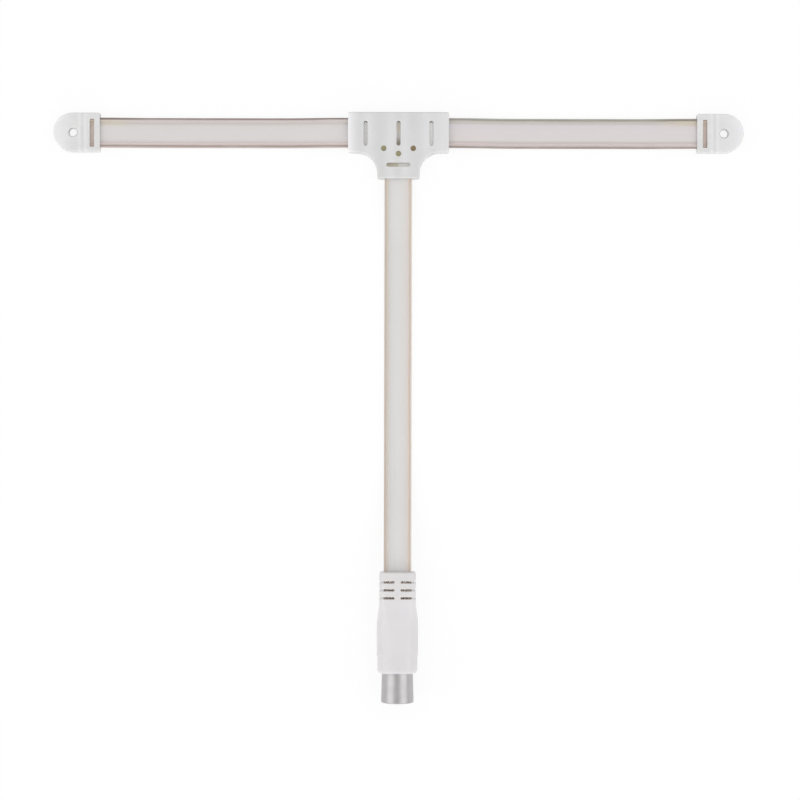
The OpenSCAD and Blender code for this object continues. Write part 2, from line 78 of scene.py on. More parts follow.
# %% [markdown]
# The photograph looks straight down from about 0.67 m, so parts that stand higher look a little larger.
# A Blender camera with no turn already looks down along -Z with +Y at the top, which is the photograph's
# own view. The photograph was not taken quite level: a turn of an eighth of a degree follows it.

# %% Camera above the antenna
CAMERA_HEIGHT = 671
VIEW_ANGLE = math.radians(22.5)
lens = bpy.data.cameras.new("camera")
lens.sensor_width = 36
lens.angle = VIEW_ANGLE
lens.clip_start = 0.01
camera = bpy.data.objects.new("camera", lens)
camera.location = mm(0.68, -88.8, CAMERA_HEIGHT)
camera.rotation_euler = (0, 0, math.radians(0.12))
bpy.context.scene.collection.objects.link(camera)
bpy.context.scene.camera = camera
print("lens", round(lens.lens, 1), "mm")

# %% [markdown]
# The two arms and the lead are flat twin cable: two stranded wires in round beads of clear insulation,
# with a thin web between them. Such cable is stiff edgeways and limp flatways, so each run stays straight
# seen from above, drops from its moulding to the table, lies there, and rises into its cap or coupling.
# The routes repeat the solids' stations.

# %% Stations of the three cables
ARM_WIDTH = 10.0
LEAD_WIDTH = 9.2
BEAD = 1.4
WEB_ANGLE = 27
ARM_RUN = 82.5
LEAD_RUN = 130.3
TEE_HALF = 16.75
TEE_STEM = 15.3
TEE_MIDDLE = 2.3
CAP_MIDDLE = 1.6
PLUG_MIDDLE = 5.8
LYING = 0.72
STATION_GAP = 25
CAP_MOUTH = TEE_HALF + ARM_RUN
PLUG_ENTRY = -TEE_STEM - LEAD_RUN
DROP = [(4, 0.96), (8, 0.8), (12, 0.5), (16, 0.2), (20, 0.04), (24, 0)]
CAP_RISE = [(20, 0), (16, 0.06), (12, 0.28), (8, 0.62), (4, 0.92)]
PLUG_RISE = [(44, 0), (38, 0.03), (32, 0.12), (26, 0.29), (20, 0.5), (14, 0.71), (8, 0.88), (3, 0.98)]


def mix(a, b, share):
    return a + (b - a) * share


def free_run(run, start, end, rise):
    """Pairs of distance and height between a moulding and the next one."""
    first, last = DROP[-1][0], run - rise[0][0]
    gaps = math.ceil((last - first) / STATION_GAP)
    return ([(0, start)] + [(d, mix(LYING, start, s)) for d, s in DROP]
            + [(mix(first, last, i / gaps), LYING) for i in range(1, gaps)]
            + [(run - d, mix(LYING, end, s)) for d, s in rise] + [(run, end)])


print("free cable", ARM_RUN, "mm on each arm and", LEAD_RUN, "mm on the lead")

# %% [markdown]
# A cubic curve through the stations keeps the drop free of kinks. The same runs serve the insulation and,
# with other ends, the wires inside it.

# %% Smooth runs through the stations
def smooth(stations, step=1.5):
    """A curve in metres through stations in millimetres, with a point about every step."""
    points = [Vector(s) for s in stations]
    padded = [2 * points[0] - points[1]] + points + [2 * points[-1] - points[-2]]
    line = [points[0]]
    for a, b, c, d in zip(padded, padded[1:], padded[2:], padded[3:]):
        span = (c - b).length
        before = (c - a) * (span / (c - a).length)
        after = (d - b) * (span / (d - b).length)
        pieces = max(2, math.ceil(span / step))
        for i in range(1, pieces + 1):
            t = i / pieces
            line.append(b * (2 * t**3 - 3 * t**2 + 1) + before * (t**3 - 2 * t**2 + t)
                        + c * (3 * t**2 - 2 * t**3) + after * (t**3 - t**2))
    return [p * MM for p in line]


def arm_route(start, end):
    """From inside the T junction to a distance inside the right cap."""
    stations = [(start, 0, TEE_MIDDLE)]
    stations += [(TEE_HALF + d, 0, z) for d, z in free_run(ARM_RUN, TEE_MIDDLE, CAP_MIDDLE, CAP_RISE)]
    return smooth(stations + [(CAP_MOUTH + end, 0, CAP_MIDDLE)])


def lead_route(start, end):
    """From inside the T junction to a distance inside the coupling."""
    stations = [(0, start, TEE_MIDDLE)]
    stations += [(0, -TEE_STEM - d, z) for d, z in free_run(LEAD_RUN, TEE_MIDDLE, PLUG_MIDDLE, PLUG_RISE)]
    return smooth(stations + [(0, PLUG_ENTRY - end, PLUG_MIDDLE)])


def mirrored(line):
    """The same run on the other arm."""
    return [Vector((-p.x, p.y, p.z)) for p in line]


def run_length(line):
    return sum((b - a).length for a, b in zip(line, line[1:]))


CUT_X = 6.0
arm_line = arm_route(CUT_X, 4.91)
lead_line = lead_route(-6.4, 10.6)
print("arm", round(run_length(arm_line), 4), "m, lead", round(run_length(lead_line), 4), "m")

# %% [markdown]
# Every piece ends the same way: its shape is merged and turned outwards, its open edges are counted, and it
# becomes an object at the origin.

# %% From shapes to objects
MERGE = 2e-7


def new_object(name, data):
    made = bpy.data.objects.new(name, data)
    bpy.context.scene.collection.objects.link(made)
    return made


def plain_mesh(thing):
    """What an object's curve or modifiers come to, as a mesh."""
    bpy.context.view_layer.update()
    return bpy.data.meshes.new_from_object(thing.evaluated_get(bpy.context.evaluated_depsgraph_get()))


def taken_shape(thing, *helpers):
    """What an object comes to, as a bmesh. The object and its helpers are removed."""
    mesh = plain_mesh(thing)
    shape = bmesh.new()
    shape.from_mesh(mesh)
    for spent in (thing, *helpers):
        bpy.data.objects.remove(spent)
    bpy.data.meshes.remove(mesh)
    return shape


def shift(shape, *values):
    """Move a shape by millimetres."""
    bmesh.ops.translate(shape, vec=mm(*values), verts=shape.verts)


def finish_mesh(name, shape, smooth_below=32):
    """A bmesh as an object, merged, facing outwards, and smooth where it bends less than an angle."""
    bmesh.ops.remove_doubles(shape, verts=shape.verts, dist=MERGE)
    bmesh.ops.recalc_face_normals(shape, faces=shape.faces)
    open_edges = sum(not e.is_manifold for e in shape.edges)
    mesh = bpy.data.meshes.new(name)
    shape.to_mesh(mesh)
    shape.free()
    mesh.shade_smooth()
    mesh.set_sharp_from_angle(angle=math.radians(smooth_below))
    print(name, len(mesh.polygons), "faces,", open_edges, "open edges")
    return new_object(name, mesh)


print("points closer than", MERGE, "m are merged")

# %% [markdown]
# Extruded cable has one section all along, so a Blender curve with a bevel profile makes it: the profile
# is the dog-bone of two beads and a web, and the curve carries it along the run.

# %% Carry a section along a run
def ring_points(radius, start, end, count, centre=(0, 0)):
    """Points on an arc from one angle to another, in degrees."""
    turns = [math.radians(mix(start, end, i / count)) for i in range(count + 1)]
    return [(centre[0] + radius * math.cos(t), centre[1] + radius * math.sin(t)) for t in turns]


def run_curve(name):
    """A curve in space whose ends are closed."""
    curve = bpy.data.curves.new(name + "_line", "CURVE")
    curve.dimensions = "3D"
    curve.use_fill_caps = True
    return curve


def add_run(curve, places, closed=False):
    """Straight pieces from place to place."""
    spline = curve.splines.new("POLY")
    spline.points.add(len(places) - 1)
    spline.use_cyclic_u = closed
    for point, place in zip(spline.points, places):
        point.co = (*place, 1)


def swept(name, line, outline):
    """An outline in millimetres, carried along a line."""
    profile = bpy.data.curves.new(name + "_profile", "CURVE")
    add_run(profile, [(x * MM, y * MM, 0) for x, y in outline], closed=True)
    holder = new_object(name + "_profile", profile)
    curve = run_curve(name)
    curve.twist_mode = "Z_UP"
    curve.bevel_mode = "OBJECT"
    curve.bevel_object = holder
    add_run(curve, line)
    return finish_mesh(name, taken_shape(new_object(name + "_line", curve), holder))


def cable_section(width, radius=BEAD / 2, web_angle=WEB_ANGLE, steps=20):
    """Dog-bone outline: two round beads, and a web that runs into them with a soft corner."""
    centre = (width - BEAD) / 2
    right = ring_points(radius, web_angle - 180, 180 - web_angle, steps, (centre, 0))
    left = ring_points(radius, web_angle, 360 - web_angle, steps, (-centre, 0))
    return right + left


arm_right = swept("arm_cable_right", arm_line, cable_section(ARM_WIDTH))
arm_left = swept("arm_cable_left", mirrored(arm_line), cable_section(ARM_WIDTH))
lead = swept("lead_cable", lead_line, cable_section(LEAD_WIDTH))

# %% [markdown]
# Inside the T junction the arm cable's lower wire is bared where the lead is soldered to it, so only the
# upper bead and the web run through. That short piece shows at the bottom of the middle slot.

# %% Crossing of the cables
WIRE_Y = (ARM_WIDTH - BEAD) / 2
LEAD_WIRE_X = (LEAD_WIDTH - BEAD) / 2
HALF_WEB = 0.3
web_end = WIRE_Y - BEAD / 2
crossing_half = CUT_X - 0.01
crossing = swept("crossing_web", [mm(crossing_half, 0, TEE_MIDDLE), mm(-crossing_half, 0, TEE_MIDDLE)],
                 ring_points(BEAD / 2, WEB_ANGLE, 360 - WEB_ANGLE, 20, (-WIRE_Y, 0))
                 + [(web_end, -HALF_WEB), (web_end, HALF_WEB)])

# %% [markdown]
# Each wire is seven thin copper strands twisted together. Laid as real strands inside the clear beads,
# they give the fine slanting lines that show through the cable's edges. One strand is a thin curve that
# winds round the wire's middle line. Seven such curves in one object make the wire.

# %% Twisted wires
STRANDS = 7
STRAND = 0.2
TWIST = 9.0


def twisted(name, line, side):
    """Strands along a line, at a distance in millimetres to its side. The last one is the middle one."""
    curve = run_curve(name)
    curve.bevel_depth = STRAND / 2 * MM
    curve.bevel_resolution = 1
    dense = [a.lerp(b, t / 2) for a, b in zip(line, line[1:]) for t in range(2)] + [line[-1]]
    for strand in range(STRANDS):
        reach = 0 if strand == STRANDS - 1 else STRAND
        along = 0.0
        places = []
        for i, place in enumerate(dense):
            before = dense[max(i - 1, 0)]
            along += (place - before).length
            ahead = (dense[min(i + 1, len(dense) - 1)] - before).normalized()
            across = Vector((0, 0, 1)).cross(ahead).normalized()
            up = ahead.cross(across)
            turn = math.tau * (along / MM / TWIST + strand / (STRANDS - 1))
            offset = across * (side + reach * math.cos(turn)) + up * reach * math.sin(turn)
            places.append(place + offset * MM)
        add_run(curve, places)
    return finish_mesh(name, taken_shape(new_object(name + "_line", curve)), smooth_below=70)


CAP_WIRE_END = 5.2
half_upper = arm_route(0, CAP_WIRE_END)
half_lower = arm_route(2.6, CAP_WIRE_END)
whole_upper = mirrored(reversed(half_upper)) + half_upper[1:]
bared_lead = lead_route(-4.66, 12.5)
wires = {
    "upper_wire": twisted("upper_strands", whole_upper, WIRE_Y),
    "lower_wire_right": twisted("lower_strands_right", half_lower, -WIRE_Y),
    "lower_wire_left": twisted("lower_strands_left", mirrored(half_lower), WIRE_Y),
    "lead_wire_left": twisted("lead_strands_left", bared_lead, -LEAD_WIRE_X),
    "lead_wire_right": twisted("lead_strands_right", bared_lead, LEAD_WIRE_X),
}

# %% [markdown]
# The T junction is one moulding. A plate drawn from eight corners is thickened, its two inner corners are
# bevelled to wide hollows and its outer ones to small rounds, and then its two rims are softened.

# %% Plates and rounded edges
RIM_ROUND = 0.12


def plate(corners, thickness, lift=0.0):
    """A flat plate from its corners in millimetres, as a bmesh."""
    shape = bmesh.new()
    face = shape.faces.new([shape.verts.new((x * MM, y * MM, lift * MM)) for x, y in corners])
    grown = bmesh.ops.extrude_face_region(shape, geom=[face])
    raised = [v for v in grown["geom"] if isinstance(v, bmesh.types.BMVert)]
    bmesh.ops.translate(shape, vec=(0, 0, thickness * MM), verts=raised)
    bmesh.ops.recalc_face_normals(shape, faces=shape.faces)
    return shape


def bevel(shape, parts, radius, segments, affect="EDGES", **more):
    """Round edges or corners with a radius in millimetres."""
    return bmesh.ops.bevel(shape, geom=parts, offset=radius * MM, offset_type="OFFSET", affect=affect,
                           segments=segments, profile=0.5, material=-1, **more)


def round_edges(shape, chosen, radius, segments, merge=0.0002):
    """Bevel the edges that a test on their two ends picks."""
    bevel(shape, [e for e in shape.edges if chosen(*(v.co / MM for v in e.verts))], radius, segments)
    bmesh.ops.remove_doubles(shape, verts=shape.verts, dist=merge * MM)


def upright_at(*places):
    """A test for upright edges at some places, seen from above."""
    def chosen(a, b):
        return abs(a.z - b.z) > 0.1 and any(abs(a.x - x) < 0.01 and abs(a.y - y) < 0.01 for x, y in places)
    return chosen


def rim_at(*heights):
    """A test for level edges at some heights."""
    return lambda a, b: any(abs(a.z - z) < 0.002 and abs(b.z - z) < 0.002 for z in heights)


def soften_rims(shape, *heights):
    """A small round where a cut meets a flat face. Gives the number of edges."""
    level = rim_at(*heights)
    edges = [e for e in shape.edges if len(e.link_faces) == 2 and e.calc_face_angle(0) > 1.0
             and level(*(v.co / MM for v in e.verts))]
    bevel(shape, edges, RIM_ROUND, 2, clamp_overlap=True)
    return len(edges)


def weighted(piece):
    """Flat faces keep their own direction, so that only the rounded strips between them shade."""
    shading = piece.modifiers.new("weighted", "WEIGHTED_NORMAL")
    shading.keep_sharp = True
    made = plain_mesh(piece)
    piece.modifiers.clear()
    piece.data = made
    return piece


TEE_T = 4.6
BAR = 6.7
STEM = 7.05
tee_corners = [(-TEE_HALF, BAR), (-TEE_HALF, -BAR), (-STEM, -BAR), (-STEM, -TEE_STEM),
               (STEM, -TEE_STEM), (STEM, -BAR), (TEE_HALF, -BAR), (TEE_HALF, BAR)]
hollow_corners = [(-STEM, -BAR), (STEM, -BAR)]
tee = plate(tee_corners, TEE_T)
round_edges(tee, upright_at(*hollow_corners), 6.8, 24)
round_edges(tee, upright_at(*(c for c in tee_corners if c not in hollow_corners)), 0.5, 6)
round_edges(tee, rim_at(0, TEE_T), 0.4, 5)
print("junction plate", len(tee.faces), "faces")

# %% [markdown]
# Slots, pin marks and the channels that hold the cables are taken out with a Boolean, as a mould core would.
# A channel has the cable's own section, grown by the fit.

# %% Cutters and cuts
FIT = 0.08
THROUGH = 20.0


def slot_cutter(x, y, long_x, long_y, corner=None):
    """An upright cutter for a slot, in millimetres. Its ends are round if it isn't told a corner radius."""
    half = (long_x / 2, long_y / 2)
    corners = [(x - half[0], y - half[1]), (x + half[0], y - half[1]),
               (x + half[0], y + half[1]), (x - half[0], y + half[1])]
    shape = plate(corners, THROUGH, lift=-THROUGH / 2)
    round_edges(shape, upright_at(*corners), corner or min(half) * 0.999, 8)
    return shape


def rod(radius, depth, place, segments=40):
    """A closed cylinder in millimetres, put in place by a matrix."""
    shape = bmesh.new()
    bmesh.ops.create_cone(shape, cap_ends=True, segments=segments, radius1=radius * MM, radius2=radius * MM,
                          depth=depth * MM, matrix=place)
    return shape


def pin_cutter(x, y, radius, depth=THROUGH, lift=0.0):
    return rod(radius, depth, Matrix.Translation(mm(x, y, lift)))


def cut(name, shape, cutters):
    """Take closed cutters out of a closed shape, and give it back as a bmesh."""
    mesh = bpy.data.meshes.new(name)
    shape.to_mesh(mesh)
    shape.free()
    body = new_object(name, mesh)
    tools = []
    for cutter in cutters:
        bmesh.ops.recalc_face_normals(cutter, faces=cutter.faces)
        tool_mesh = bpy.data.meshes.new(name + "_cutter")
        cutter.to_mesh(tool_mesh)
        cutter.free()
        tools.append(new_object(name + "_cutter", tool_mesh))
        taking = body.modifiers.new("cut", "BOOLEAN")
        taking.operation = "DIFFERENCE"
        taking.solver = "EXACT"
        taking.object = tools[-1]
    result = taken_shape(body, *tools)
    bmesh.ops.remove_doubles(result, verts=result.verts, dist=MERGE)
    print(name, "is cut by", len(tools), "cutters")
    return result


def channel(width, start, end, height, turned=False):
    """A straight cutter with the cable's section, along X, or along Y when turned."""
    outline = cable_section(width, BEAD / 2 + FIT, web_angle=30, steps=12)
    ends = [mm(0, at, height) if turned else mm(at, 0, height) for at in (start, end)]
    tool = swept("channel", ends, outline)
    shape = bmesh.new()
    shape.from_mesh(tool.data)
    bpy.data.objects.remove(tool)
    return shape


print("channels are", FIT, "mm wider than the cable on each side")

# %% [markdown]
# The T's own sizes are the solids' sizes. The slots over the arm cable stand almost 11 mm apart. Two pin
# marks lie over the soldered joints, and the third between them. The cut edges get a tenth of a millimetre
# of round, as in a worn mould.

# %% T junction
TEE_SLOT_W = 1.35
ARM_SLOT_X = 10.9
ARM_SLOT_L = 8.3
STEM_SLOT_Y = -10.8
STEM_SLOT_L = 8.1
PIN_R = 0.95
JOINT_X = 4.3
JOINT_Y = -5.0
PIN_MARKS = ((-4.9, -5.35), (4.9, -5.35), (0, -7.1))
tee_cutters = [channel(ARM_WIDTH, -TEE_HALF - 1, TEE_HALF + 1, TEE_MIDDLE),
               channel(LEAD_WIDTH, -6.3, -TEE_STEM - 1, TEE_MIDDLE, turned=True)]
tee_cutters += [slot_cutter(x, -0.35, TEE_SLOT_W, ARM_SLOT_L) for x in (-ARM_SLOT_X, 0, ARM_SLOT_X)]
tee_cutters += [slot_cutter(0, STEM_SLOT_Y, STEM_SLOT_L, TEE_SLOT_W)]
tee_cutters += [pin_cutter(x, y, PIN_R) for x, y in PIN_MARKS]
tee_cutters += [pin_cutter(side * JOINT_X, JOINT_Y, 1.08, depth=1.86, lift=TEE_MIDDLE) for side in (-1, 1)]
tee = cut("junction_moulding", tee, tee_cutters)
print("rim edges", soften_rims(tee, 0, TEE_T))
tee = weighted(finish_mesh("junction_moulding", tee))

# %% [markdown]
# A hanging cap is a plate whose far end is a half circle. Bevelling its two far corners by half its width
# gives that round end. The hole hangs on a pin and is flared above and below. The slot shows the cable's
# end. Over the wire link inside, the face has sunk a little as it cooled: a flat ellipsoid takes that out.

# %% Hanging caps
CAP_L = 15.5
CAP_T = 3.2
CAP_HALF = 6.5
LINK_X = 5.7
HOLE_R = 1.3
FLARE_DEPTH = 0.9
FLARE_GROWTH = 1.7


def hanging_cap(name, side):
    corners = [(0, -CAP_HALF), (CAP_L, -CAP_HALF), (CAP_L, CAP_HALF), (0, CAP_HALF)]
    shape = plate(corners, CAP_T)
    round_edges(shape, upright_at(corners[1], corners[2]), CAP_HALF * 0.9995, 20, merge=0.02)
    round_edges(shape, upright_at(corners[0], corners[3]), 0.41, 4)
    round_edges(shape, rim_at(0, CAP_T), 0.4, 5)
    hole = pin_cutter(0, 0, HOLE_R, depth=CAP_T + 2 * FLARE_DEPTH, lift=CAP_T / 2)
    for height in (FLARE_DEPTH, CAP_T - FLARE_DEPTH):
        bmesh.ops.bisect_plane(hole, geom=hole.verts[:] + hole.edges[:] + hole.faces[:],
                               plane_co=mm(0, 0, height), plane_no=(0, 0, 1))
    mouths = [v for v in hole.verts if not 0 < v.co.z < CAP_T * MM]
    bmesh.ops.scale(hole, vec=(FLARE_GROWTH, FLARE_GROWTH, 1), verts=mouths)
    shift(hole, CAP_L - CAP_HALF, 0, 0)
    sink = bmesh.new()
    bmesh.ops.create_uvsphere(sink, u_segments=48, v_segments=32, radius=MM)
    bmesh.ops.scale(sink, vec=(0.95, 4.6, 0.6), verts=sink.verts)
    shift(sink, LINK_X, 0, CAP_T + 0.5)
    seat = channel(ARM_WIDTH, -1, 5.03, CAP_MIDDLE)
    shape = cut(name, shape, [seat, slot_cutter(2.6, -0.2, 1.5, 9.3, corner=0.35), hole, sink])
    soften_rims(shape, 0, CAP_T)
    shift(shape, CAP_MOUTH, 0, 0)
    if side < 0:
        bmesh.ops.scale(shape, vec=(-1, 1, 1), verts=shape.verts)
    return weighted(finish_mesh(name, shape))


cap_right = hanging_cap("hanging_cap_right", 1)
cap_left = hanging_cap("hanging_cap_left", -1)

# %% [markdown]
# The coupling body is one over-moulded piece: a flat slotted strain relief that flares into a thicker grip
# and steps in to the nose. Each station along it is a rounded rectangle, made from one face by bevelling
# its corners. Bridging each outline to the next gives the body.

# %% Sections along the coupling
RELIEF_L = 9.5
RELIEF_W = 12.05
RELIEF_T = (7.6, 8.8)
RELIEF_R = 2.2
RELIEF_EDGE = 0.6
GRIP_S = 17.4
GRIP_W = 13.6
GRIP_T = 11.6
GRIP_R = 4.2
NOSE_S = 27.7
NOSE_W = 13.2
NOSE_EDGE = 1.1
BODY_L = 33.3


def ease(t):
    return t * t * (3 - 2 * t)


def coupling_place(distance):
    """Turns a shape drawn along +Z to run from a distance along the coupling to its mouth."""
    place = Matrix.Translation(mm(0, PLUG_ENTRY - distance, PLUG_MIDDLE))
    return place @ Matrix.Rotation(math.pi / 2, 4, "X")


def rounded_ring(shape, distance, width, thickness, radius):
    """Points of a rounded rectangle across the coupling, at a distance from the lead's entry."""
    made = bmesh.ops.create_grid(shape, x_segments=1, y_segments=1, size=0.5)["verts"]
    bmesh.ops.scale(shape, vec=(width * MM, thickness * MM, 1), verts=made)
    grown = bevel(shape, made, radius, 8, affect="VERTICES")
    verts = list({v for v in grown["verts"]} | {v for f in grown["faces"] for v in f.verts})
    bmesh.ops.transform(shape, matrix=coupling_place(distance), verts=verts)
    return verts


def loft(shape, rings):
    """Bridge each ring to the next and close both ends."""
    bmesh.ops.delete(shape, geom=list(shape.faces), context="FACES_ONLY")
    loops = [list({e for v in ring for e in v.link_edges}) for ring in rings]
    for near, far in zip(loops, loops[1:]):
        bmesh.ops.bridge_loops(shape, edges=near + far)
    for end in (loops[0], loops[-1]):
        bmesh.ops.contextual_create(shape, geom=end)
    bmesh.ops.recalc_face_normals(shape, faces=shape.faces)


def body_stations():
    """Distance, width, thickness and corner radius from the lead's entry to the nose."""
    found = []
    for turn in (0, 22.5, 45, 67.5, 90):
        drawn = RELIEF_EDGE * (1 - math.sin(math.radians(turn)))
        found.append((RELIEF_EDGE * (1 - math.cos(math.radians(turn))), RELIEF_W - 2 * drawn,
                      RELIEF_T[0] - 2 * drawn, RELIEF_R - drawn))
    found.append((RELIEF_L, RELIEF_W, RELIEF_T[1], RELIEF_R))
    for step in range(1, 13):
        share = ease(step / 12)
        found.append((mix(RELIEF_L, GRIP_S, step / 12), mix(RELIEF_W, GRIP_W, share),
                      mix(RELIEF_T[1], GRIP_T, share), mix(RELIEF_R, GRIP_R, share)))
    found += [(NOSE_S - 0.3, GRIP_W, GRIP_T, GRIP_R), (NOSE_S - 0.1, GRIP_W - 0.12, GRIP_T, GRIP_R),
              (NOSE_S, NOSE_W, GRIP_T, GRIP_R)]
    for turn in range(0, 91, 15):
        drawn = NOSE_EDGE * (1 - math.cos(math.radians(turn)))
        found.append((BODY_L - NOSE_EDGE * (1 - math.sin(math.radians(turn))), NOSE_W - 2 * drawn,
                      GRIP_T - 2 * drawn, GRIP_R - drawn))
    return found


body = bmesh.new()
rings = [rounded_ring(body, *station) for station in body_stations()]
loft(body, rings)
print("coupling rings", len(rings), "of", len(rings[0]), "points")

# %% [markdown]
# The bore seats the sleeve, and a channel seats the lead. Three rows of slots go through the strain relief,
# so that it bends with the lead, and a shallow groove carries each row round the sides.

# %% Bore, slots and grooves
ROWS = (3.2, 5.8, 8.4)
ROW_HALF = 0.38
GROOVE = 0.4
SLEEVE_R = 5.125
SLEEVE_S = 26.8
MOUTH_S = 43.2
BORE_L = 8


def box_cutter(low, high):
    """A box between two corners in millimetres."""
    shape = bmesh.new()
    bmesh.ops.create_cube(shape, size=1)
    bmesh.ops.scale(shape, vec=mm(*(h - l for l, h in zip(low, high))), verts=shape.verts)
    shift(shape, *((l + h) / 2 for l, h in zip(low, high)))
    return shape


def row_box(side, near, far, distance):
    """A box over one row, from top to bottom, between two distances to one side."""
    low, high = sorted((side * near, side * far))
    row_y = PLUG_ENTRY - distance
    return box_cutter((low, row_y - ROW_HALF, PLUG_MIDDLE - 12), (high, row_y + ROW_HALF, PLUG_MIDDLE + 12))


def window(side, distance):
    """A slot beside the middle rib, with soft corners."""
    made = row_box(side, 0.975, 4.625, distance)
    bevel(made, [e for e in made.edges if abs(e.verts[0].co.z - e.verts[1].co.z) > MM], 0.3, 4)
    return made


def side_groove(side, distance):
    """A shallow groove that carries a row round one side of the strain relief."""
    core = bmesh.new()
    thick = mix(*RELIEF_T, distance / RELIEF_L)
    loft(core, [rounded_ring(core, distance + d, RELIEF_W - 2 * GROOVE, thick - 2 * GROOVE, RELIEF_R - GROOVE)
                for d in (-1, 1)])
    return cut("groove", row_box(side, 1.8, 12, distance), [core])


body_cutters = [channel(LEAD_WIDTH, PLUG_ENTRY + 1, PLUG_ENTRY - 10.7, PLUG_MIDDLE, turned=True),
                rod(SLEEVE_R + 0.02, BORE_L, coupling_place(SLEEVE_S - 0.1 + BORE_L / 2), segments=96)]
for distance in ROWS:
    for side in (-1, 1):
        body_cutters += [window(side, distance), side_groove(side, distance)]
body = cut("coupling_moulding", body, body_cutters)
body = weighted(finish_mesh("coupling_moulding", body, smooth_below=28))

# %% [markdown]
# The slots aren't empty: brown glue from the lead's soldered ends has crept up into them and set unevenly.
# Each bit of it is a grid with a rough top, extruded down to the lead.

# %% Glue in the slots
slot_glue = bmesh.new()
for distance in ROWS:
    for side in (-1, 1):
        for up in (-1, 1):
            top = bmesh.ops.create_grid(slot_glue, x_segments=28, y_segments=6, size=0.5)["verts"]
            faces = list({f for v in top for f in v.link_faces})
            grown = bmesh.ops.extrude_face_region(slot_glue, geom=faces)["geom"]
            low = {v for v in grown if isinstance(v, bmesh.types.BMVert)}
            for v in list(top) + list(low):
                x, y = side * 2.8 + v.co.x * 3.62, PLUG_ENTRY - distance + v.co.y * 0.74
                bump = 0.5 * noise.noise(Vector((x * 1.9, y * 1.9, up))) * (v not in low)
                v.co = mm(x, y, PLUG_MIDDLE + up * (1.25 if v in low else 2.75 + bump))
slot_glue = finish_mesh("slot_glue", slot_glue)

# %% [markdown]
# The coaxial contacts are turned and drawn parts, round about one axis, so each is a profile spun a full
# turn. The sleeve widens a little to a rolled lip. The middle contact is a slit tube that grips the pin of
# the tuner's plug, and a moulded disc with a collar holds it in the middle.

# %% Round contacts
WALL = 0.3
SLEEVE_L = MOUTH_S - SLEEVE_S
DISC_S = 28.0
CONTACT_S = 32.02
CONTACT_L = 10.38


def spun(profile, steps, place):
    """A closed profile of radius and distance, in millimetres, spun round an axis and put in place."""
    shape = bmesh.new()
    verts = [shape.verts.new((r * MM, 0, z * MM)) for r, z in profile]
    edges = [shape.edges.new((a, b)) for a, b in zip(verts, verts[1:] + verts[:1])
             if a.co.x > 1e-9 or b.co.x > 1e-9]
    bmesh.ops.spin(shape, geom=verts + edges, cent=(0, 0, 0), axis=(0, 0, 1), angle=math.tau, steps=steps,
                   use_merge=True)
    bmesh.ops.remove_doubles(shape, verts=shape.verts, dist=1e-7)
    bmesh.ops.recalc_face_normals(shape, faces=shape.faces)
    bmesh.ops.transform(shape, matrix=place, verts=shape.verts)
    return shape


def lip(radius, distance, thickness):
    """A half round at the end of a wall."""
    return ring_points(thickness / 2, 0, 180, 8, (radius, distance))


sleeve = spun([(SLEEVE_R - WALL, 0), (SLEEVE_R, 0), (SLEEVE_R, 6.4), (SLEEVE_R + 0.04, 7.4),
               (5.3, SLEEVE_L - 3.2), (5.36, SLEEVE_L - 1.4), (5.355, SLEEVE_L - 0.7)]
              + lip(5.2, SLEEVE_L - 0.305, 0.31)
              + [(5.06, SLEEVE_L - 0.7), (5.0, SLEEVE_L - 3.2), (SLEEVE_R - WALL, 7.4)],
              128, coupling_place(SLEEVE_S))
sleeve = finish_mesh("sleeve", sleeve)

contact = spun([(0, 0), (1.6, 0), (1.8, 0.2), (1.8, CONTACT_L - 0.38), (1.75, CONTACT_L - 0.13),
                (1.6, CONTACT_L), (1.4, CONTACT_L), (1.26, CONTACT_L - 0.18), (1.2, CONTACT_L - 0.38),
                (1.2, CONTACT_L - 8), (0, CONTACT_L - 8)], 64, coupling_place(CONTACT_S))
slit = box_cutter((-4, PLUG_ENTRY - CONTACT_S - 11, PLUG_MIDDLE - 0.175),
                  (4, PLUG_ENTRY - CONTACT_S - CONTACT_L + 5, PLUG_MIDDLE + 0.175))
contact = finish_mesh("middle_contact", cut("middle_contact", contact, [slit]))

holder = spun([(1.82, 4.04), (1.82, 6.2), (2.0, 6.5), (2.85, 6.5), (3.0, 6.3), (3.0, 4.25), (3.25, 4.0),
               (4.6, 4.0), (4.8, 3.8), (4.8, 0.2), (4.6, 0), (0.82, 0), (0.82, 4.04)],
              96, coupling_place(DISC_S))
holder = finish_mesh("contact_holder", holder)

# %% [markdown]
# Each soldered joint is a small frozen drop round two wires, not a turned disc. A sphere is flattened to
# its size, drawn out along the wires, and its surface is moved a little in and out, as solder sets.

# %% Soldered joints
def solder_drop(name, side):
    shape = bmesh.new()
    bmesh.ops.create_icosphere(shape, subdivisions=4, radius=1.0)
    for v in shape.verts:
        n = v.co.normalized()
        drawn = 1 + 0.16 * max(0, abs(n.x) - 0.6) + 0.04 * noise.noise(n * 2.3 + Vector((side, 0, 0)))
        v.co = Vector((n.x * 0.92 * drawn, n.y * 0.92 * drawn, n.z * 0.8)) * MM
    shift(shape, side * JOINT_X, JOINT_Y, TEE_MIDDLE)
    return finish_mesh(name, shape, smooth_below=80)


joint_left = solder_drop("solder_drop_left", -1)
joint_right = solder_drop("solder_drop_right", 1)

# %% [markdown]
# The pins of the mould held the cables while the plastic flowed, and left three holes. Flux has run into
# each and set with a dished top, as a liquid does in a narrow hole. The dish is a profile spun round.

# %% Flux in the pin marks
FLUX_R = 0.935
FLUX_LOW = 3.2
FLUX_TOP = 3.75


def flux_fill(name, x, y):
    dish = [(FLUX_R * i / 6, FLUX_TOP + 0.22 * (i / 6) ** 2) for i in range(7)]
    profile = dish + [(FLUX_R, FLUX_LOW), (0, FLUX_LOW)]
    return finish_mesh(name, spun(profile, 40, Matrix.Translation(mm(x, y, 0))))


